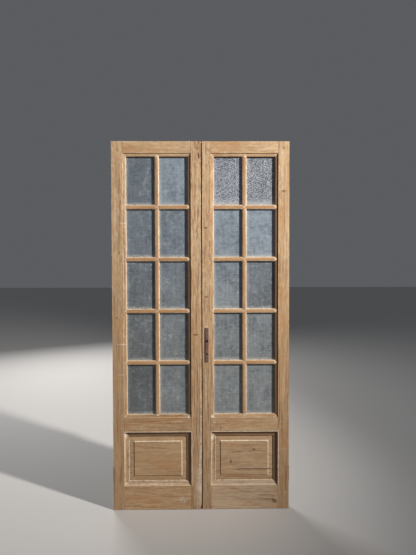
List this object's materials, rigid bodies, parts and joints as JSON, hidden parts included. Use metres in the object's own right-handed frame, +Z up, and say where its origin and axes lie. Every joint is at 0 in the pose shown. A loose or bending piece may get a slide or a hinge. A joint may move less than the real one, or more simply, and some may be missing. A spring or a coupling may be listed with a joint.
{
  "type": "french doors",
  "caption": "Pair of tall glazed pine doors with rebated meeting stiles, small panes over a raised panel, butt hinges and a mortise lock.",
  "frame": {"origin": "middle of the closed pair on the floor line, centred on the depth from the front lock plate to the hinge knuckles", "axes": "+X to the viewer's right across the pair, +Y away from the viewer through the doors, +Z up"},
  "size_m": [1.1564, 0.0594, 2.388],
  "materials": {
    "upright_pine": "bare stripped pine, grain upright",
    "level_pine": "bare stripped pine, grain level",
    "panel_pine": "bare stripped pine, wide level grain",
    "peg_wood": "bare end grain",
    "pane_glass": "old patterned glass, dusty",
    "plate_iron": "dark rust",
    "lock_iron": "dull, lightly rusted",
    "hinge_iron": "dull, lightly rusted"
  },
  "bodies": {
    "frame_side": {"frame_hinge_leaves": "hinge_iron", "hinge_pins": "hinge_iron"},
    "right_leaf": {"right_outer_stile": "upright_pine", "right_meeting_stile": "upright_pine", "right_top_rail": "level_pine", "right_mid_rail": "level_pine", "right_bottom_rail": "level_pine", "right_panel": "panel_pine", "right_vertical_bar": "upright_pine", "right_horizontal_bar_1": "level_pine", "right_horizontal_bar_2": "level_pine", "right_horizontal_bar_3": "level_pine", "right_horizontal_bar_4": "level_pine", "right_pane_1": "pane_glass", "right_pane_2": "pane_glass", "right_pane_3": "pane_glass", "right_pane_4": "pane_glass", "right_pane_5": "pane_glass", "right_pane_6": "pane_glass", "right_pane_7": "pane_glass", "right_pane_8": "pane_glass", "right_pane_9": "pane_glass", "right_pane_10": "pane_glass", "right_beads": "level_pine", "right_pegs": "peg_wood", "right_hinge_leaves": "hinge_iron", "right_hinge_screws": "hinge_iron", "lock_plates": "plate_iron", "lock_case": "lock_iron"},
    "left_leaf": {"left_outer_stile": "upright_pine", "left_meeting_stile": "upright_pine", "left_top_rail": "level_pine", "left_mid_rail": "level_pine", "left_bottom_rail": "level_pine", "left_panel": "panel_pine", "left_vertical_bar": "upright_pine", "left_horizontal_bar_1": "level_pine", "left_horizontal_bar_2": "level_pine", "left_horizontal_bar_3": "level_pine", "left_horizontal_bar_4": "level_pine", "left_pane_1": "pane_glass", "left_pane_2": "pane_glass", "left_pane_3": "pane_glass", "left_pane_4": "pane_glass", "left_pane_5": "pane_glass", "left_pane_6": "pane_glass", "left_pane_7": "pane_glass", "left_pane_8": "pane_glass", "left_pane_9": "pane_glass", "left_pane_10": "pane_glass", "left_beads": "level_pine", "left_pegs": "peg_wood", "left_hinge_leaves": "hinge_iron", "left_hinge_screws": "hinge_iron", "strike_plate": "lock_iron"},
    "follower": {"follower": "lock_iron"},
    "latch": {"latch_bolt": "lock_iron"},
    "bolt": {"dead_bolt": "lock_iron"}
  },
  "joints": [
    {"name": "right_leaf_swing", "type": "hinge", "parent": "frame_side", "child": "right_leaf", "pos_m": [0.57225, 0.02372, 1.194], "axis": [0, 0, -1], "range_deg": [0, 110]},
    {"name": "left_leaf_swing", "type": "hinge", "parent": "frame_side", "child": "left_leaf", "pos_m": [-0.57225, 0.02372, 1.194], "axis": [0, 0, 1], "range_deg": [0, 110]},
    {"name": "follower_turn", "type": "hinge", "parent": "right_leaf", "child": "follower", "pos_m": [0.0385, 0.00622, 1.103], "axis": [0, 1, 0], "range_deg": [0, 30]},
    {"name": "latch_slide", "type": "slide", "parent": "right_leaf", "child": "latch", "axis": [1, 0, 0], "range_m": [0, 0.005]},
    {"name": "dead_bolt_slide", "type": "slide", "parent": "right_leaf", "child": "bolt", "axis": [-1, 0, 0], "range_m": [0, 0.014]}
  ],
  "couplings": [
    {"joint": "left_leaf_swing", "follows": "right_leaf_swing", "ratio": 1},
    {"joint": "follower_turn", "follows": "latch_slide", "rad_per_m": 104.71}
  ]
}
